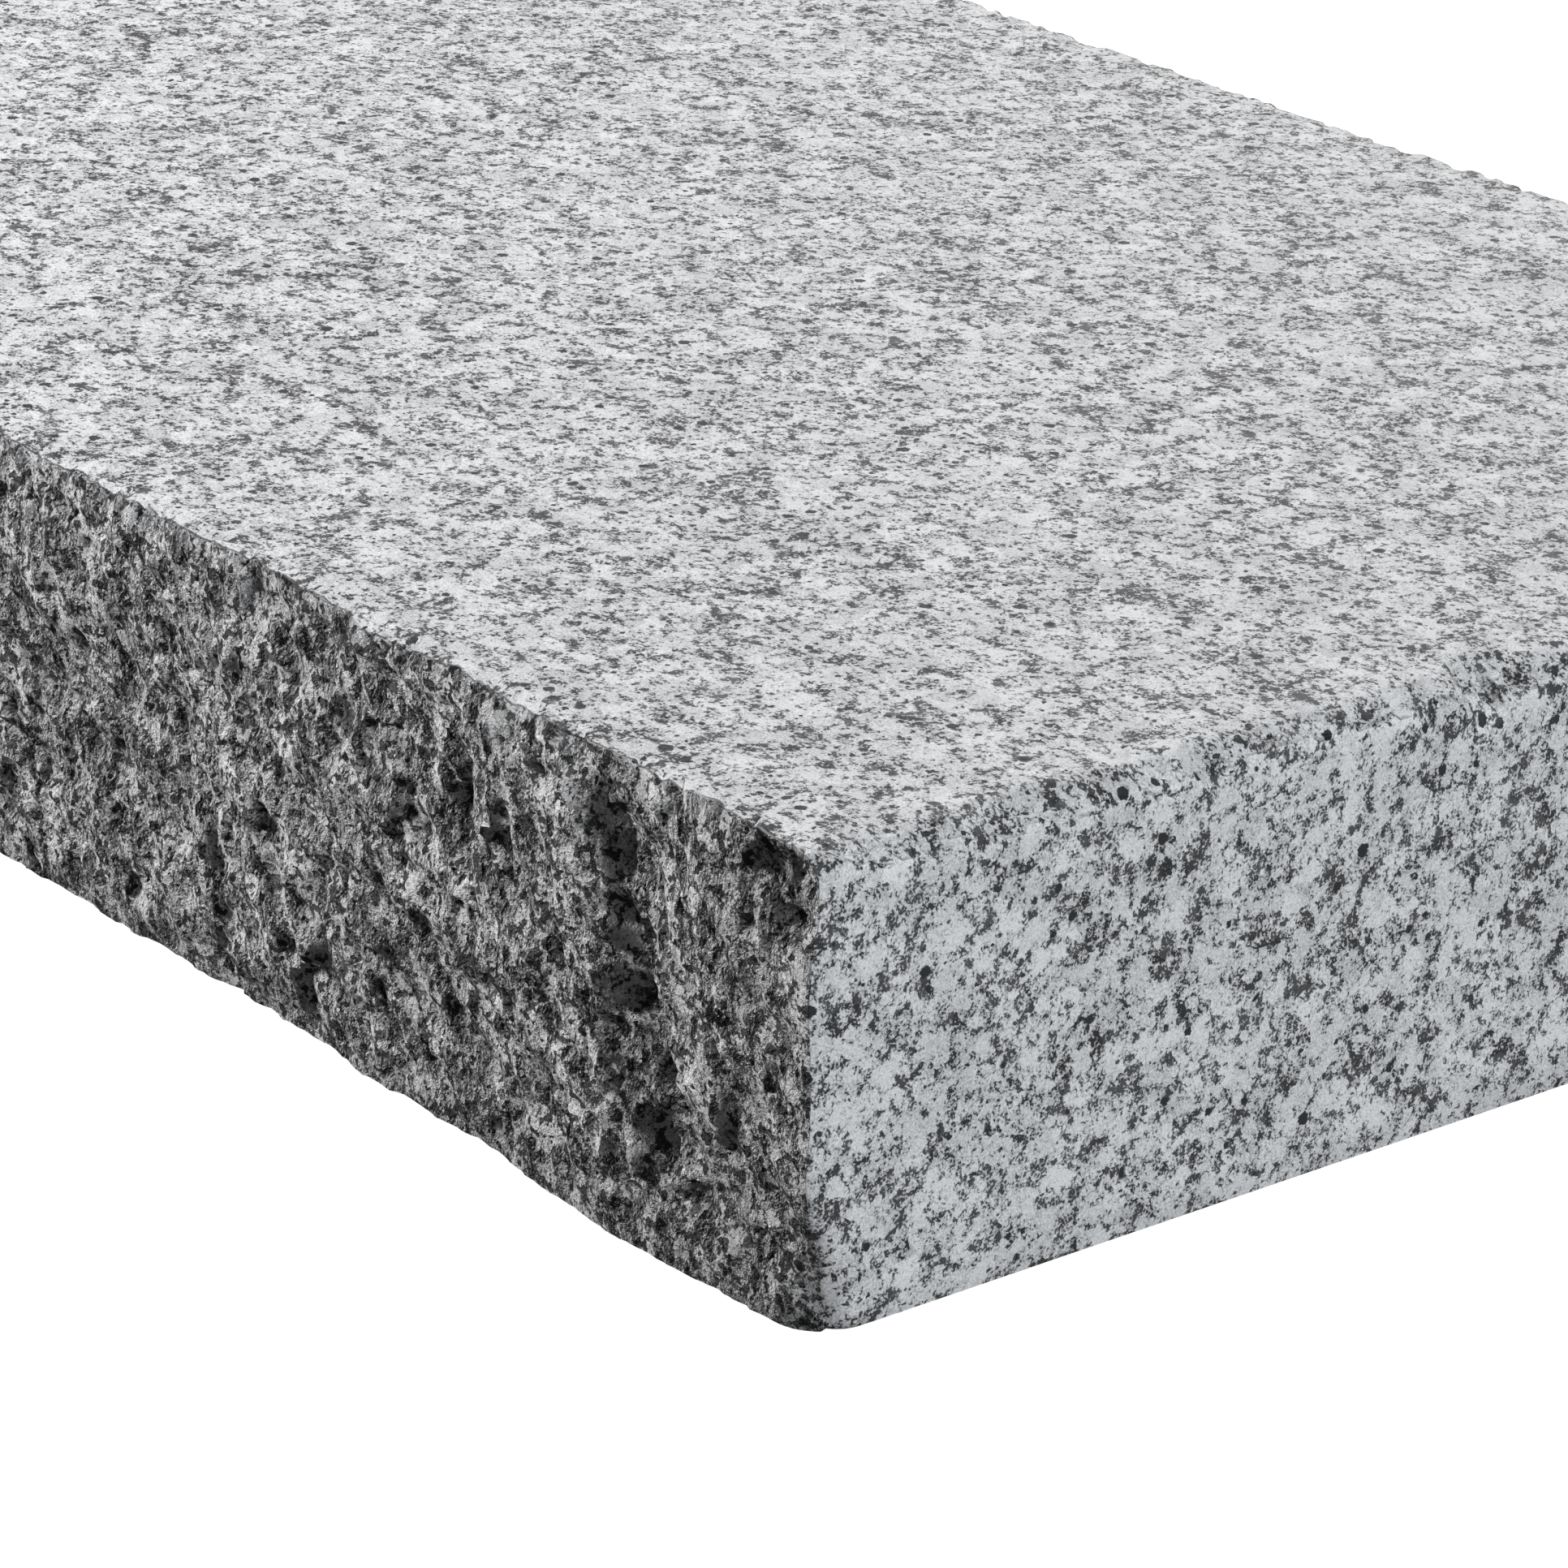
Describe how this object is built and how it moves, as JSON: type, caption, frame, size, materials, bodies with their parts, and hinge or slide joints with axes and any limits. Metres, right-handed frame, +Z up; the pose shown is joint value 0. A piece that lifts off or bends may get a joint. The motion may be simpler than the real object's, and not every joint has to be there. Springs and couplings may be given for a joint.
{
  "type": "granite slab",
  "caption": "Thick grey granite slab with a flat flamed working face, sawn ends and rough split long sides, used as a solid base for leather stamping.",
  "frame": {"origin": "middle of the sawn underside", "axes": "+X along the slab, towards the end with the worn lower front corner; +Z up out of the working face; the two split sides face -Y and +Y"},
  "size_m": [0.4064, 0.216, 0.0508],
  "materials": {
    "granite": "light grey fine-grained granite with black biotite flecks, flamed on top, sawn on the ends and underside, split on the long sides"
  },
  "bodies": {
    "root": {"granite_slab": "granite"}
  },
  "joints": []
}
